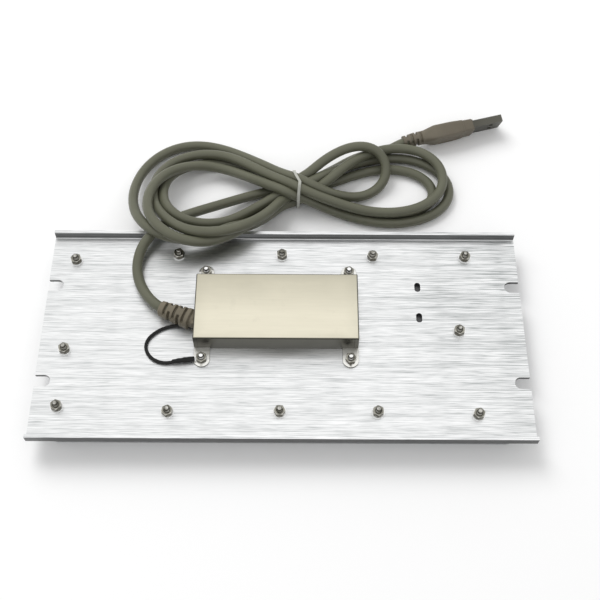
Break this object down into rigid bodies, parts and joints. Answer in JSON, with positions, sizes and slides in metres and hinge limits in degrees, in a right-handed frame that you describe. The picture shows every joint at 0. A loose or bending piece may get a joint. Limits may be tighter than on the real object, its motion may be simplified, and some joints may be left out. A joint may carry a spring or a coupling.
{
  "type": "panel-mount metal keyboard",
  "caption": "Panel-mount metal keyboard lying on its keys, rear side up: brushed rear panel, plated controller cover, tied hank of USB cable.",
  "frame": {"origin": "middle of the front rim, the face that the keyboard rests on", "axes": "X along the long side, +Z out of the rear side, +Y towards the edge that the cable crosses"},
  "size_m": [0.2727, 0.227, 0.036],
  "materials": {
    "fascia_steel": "satin brushed",
    "stud_steel": "bright zinc",
    "black_foam": "matt foam",
    "silicone": "matt",
    "circuit_board": "solder mask",
    "film": "black film",
    "chip_black": "matt",
    "brushed_panel": "long straight brushing along X",
    "washer_steel": "bright zinc",
    "nut_nickel": "nickel plated",
    "cover_nickel": "warm nickel plating",
    "nylon": "satin",
    "ribbon": "satin",
    "core_red": "satin",
    "relief_taupe": "moulded, slightly worn",
    "cable_olive": "extruded jacket",
    "tie_grey": "satin",
    "plug_taupe": "moulded",
    "plug_steel": "tarnished nickel",
    "contact_gold": "gold plated",
    "wire_black": "satin",
    "shrink_black": "shrunk tube",
    "terminal_tin": "tin plated",
    "key_steel": "fine brushed"
  },
  "bodies": {
    "chassis": {"front_fascia": "fascia_steel", "fascia_studs": "stud_steel", "fascia_gasket": "black_foam", "key_mat": "silicone", "key_circuit_board": "circuit_board", "insulating_film": "film", "matrix_chip": "chip_black", "rear_panel": "brushed_panel", "stud_washers": "washer_steel", "stud_nuts": "nut_nickel", "controller_cover": "cover_nickel", "cover_studs": "stud_steel", "cover_nuts": "nut_nickel", "board_spacers": "nylon", "controller_board": "circuit_board", "controller_chips": "chip_black", "cable_header": "nylon", "ribbon_cable": "ribbon", "cable_cores": "core_red", "strain_relief": "relief_taupe", "usb_cable_lead": "cable_olive", "usb_cable_hank": "cable_olive", "usb_cable_tail": "cable_olive", "cable_tie": "tie_grey", "plug_overmold": "plug_taupe", "plug_shell": "plug_steel", "plug_tongue": "nylon", "plug_contacts": "contact_gold", "ground_wire": "wire_black", "heat_shrink": "shrink_black", "ring_terminal": "terminal_tin"},
    "key_r1_c1": {"key_r1_c1": "key_steel"},
    "key_r1_c2": {"key_r1_c2": "key_steel"},
    "key_r1_c3": {"key_r1_c3": "key_steel"},
    "key_r1_c4": {"key_r1_c4": "key_steel"},
    "key_r1_c5": {"key_r1_c5": "key_steel"},
    "key_r1_c6": {"key_r1_c6": "key_steel"},
    "key_r1_c7": {"key_r1_c7": "key_steel"},
    "key_r1_c8": {"key_r1_c8": "key_steel"},
    "key_r2_c1": {"key_r2_c1": "key_steel"},
    "key_r2_c2": {"key_r2_c2": "key_steel"},
    "key_r2_c3": {"key_r2_c3": "key_steel"},
    "key_r2_c4": {"key_r2_c4": "key_steel"},
    "key_r2_c5": {"key_r2_c5": "key_steel"},
    "key_r2_c6": {"key_r2_c6": "key_steel"},
    "key_r2_c7": {"key_r2_c7": "key_steel"},
    "key_r2_c8": {"key_r2_c8": "key_steel"},
    "key_r3_c1": {"key_r3_c1": "key_steel"},
    "key_r3_c2": {"key_r3_c2": "key_steel"},
    "space_bar": {"space_bar": "key_steel"},
    "key_r3_c7": {"key_r3_c7": "key_steel"},
    "key_r3_c8": {"key_r3_c8": "key_steel"}
  },
  "joints": [
    {"name": "key_r1_c1_press", "type": "slide", "parent": "chassis", "child": "key_r1_c1", "axis": [0, 0, 1], "range_m": [0, 0.0012], "stiffness_N_per_m": 600},
    {"name": "key_r1_c2_press", "type": "slide", "parent": "chassis", "child": "key_r1_c2", "axis": [0, 0, 1], "range_m": [0, 0.0012], "stiffness_N_per_m": 600},
    {"name": "key_r1_c3_press", "type": "slide", "parent": "chassis", "child": "key_r1_c3", "axis": [0, 0, 1], "range_m": [0, 0.0012], "stiffness_N_per_m": 600},
    {"name": "key_r1_c4_press", "type": "slide", "parent": "chassis", "child": "key_r1_c4", "axis": [0, 0, 1], "range_m": [0, 0.0012], "stiffness_N_per_m": 600},
    {"name": "key_r1_c5_press", "type": "slide", "parent": "chassis", "child": "key_r1_c5", "axis": [0, 0, 1], "range_m": [0, 0.0012], "stiffness_N_per_m": 600},
    {"name": "key_r1_c6_press", "type": "slide", "parent": "chassis", "child": "key_r1_c6", "axis": [0, 0, 1], "range_m": [0, 0.0012], "stiffness_N_per_m": 600},
    {"name": "key_r1_c7_press", "type": "slide", "parent": "chassis", "child": "key_r1_c7", "axis": [0, 0, 1], "range_m": [0, 0.0012], "stiffness_N_per_m": 600},
    {"name": "key_r1_c8_press", "type": "slide", "parent": "chassis", "child": "key_r1_c8", "axis": [0, 0, 1], "range_m": [0, 0.0012], "stiffness_N_per_m": 600},
    {"name": "key_r2_c1_press", "type": "slide", "parent": "chassis", "child": "key_r2_c1", "axis": [0, 0, 1], "range_m": [0, 0.0012], "stiffness_N_per_m": 600},
    {"name": "key_r2_c2_press", "type": "slide", "parent": "chassis", "child": "key_r2_c2", "axis": [0, 0, 1], "range_m": [0, 0.0012], "stiffness_N_per_m": 600},
    {"name": "key_r2_c3_press", "type": "slide", "parent": "chassis", "child": "key_r2_c3", "axis": [0, 0, 1], "range_m": [0, 0.0012], "stiffness_N_per_m": 600},
    {"name": "key_r2_c4_press", "type": "slide", "parent": "chassis", "child": "key_r2_c4", "axis": [0, 0, 1], "range_m": [0, 0.0012], "stiffness_N_per_m": 600},
    {"name": "key_r2_c5_press", "type": "slide", "parent": "chassis", "child": "key_r2_c5", "axis": [0, 0, 1], "range_m": [0, 0.0012], "stiffness_N_per_m": 600},
    {"name": "key_r2_c6_press", "type": "slide", "parent": "chassis", "child": "key_r2_c6", "axis": [0, 0, 1], "range_m": [0, 0.0012], "stiffness_N_per_m": 600},
    {"name": "key_r2_c7_press", "type": "slide", "parent": "chassis", "child": "key_r2_c7", "axis": [0, 0, 1], "range_m": [0, 0.0012], "stiffness_N_per_m": 600},
    {"name": "key_r2_c8_press", "type": "slide", "parent": "chassis", "child": "key_r2_c8", "axis": [0, 0, 1], "range_m": [0, 0.0012], "stiffness_N_per_m": 600},
    {"name": "key_r3_c1_press", "type": "slide", "parent": "chassis", "child": "key_r3_c1", "axis": [0, 0, 1], "range_m": [0, 0.0012], "stiffness_N_per_m": 600},
    {"name": "key_r3_c2_press", "type": "slide", "parent": "chassis", "child": "key_r3_c2", "axis": [0, 0, 1], "range_m": [0, 0.0012], "stiffness_N_per_m": 600},
    {"name": "space_bar_press", "type": "slide", "parent": "chassis", "child": "space_bar", "axis": [0, 0, 1], "range_m": [0, 0.0012], "stiffness_N_per_m": 700},
    {"name": "key_r3_c7_press", "type": "slide", "parent": "chassis", "child": "key_r3_c7", "axis": [0, 0, 1], "range_m": [0, 0.0012], "stiffness_N_per_m": 600},
    {"name": "key_r3_c8_press", "type": "slide", "parent": "chassis", "child": "key_r3_c8", "axis": [0, 0, 1], "range_m": [0, 0.0012], "stiffness_N_per_m": 600}
  ]
}
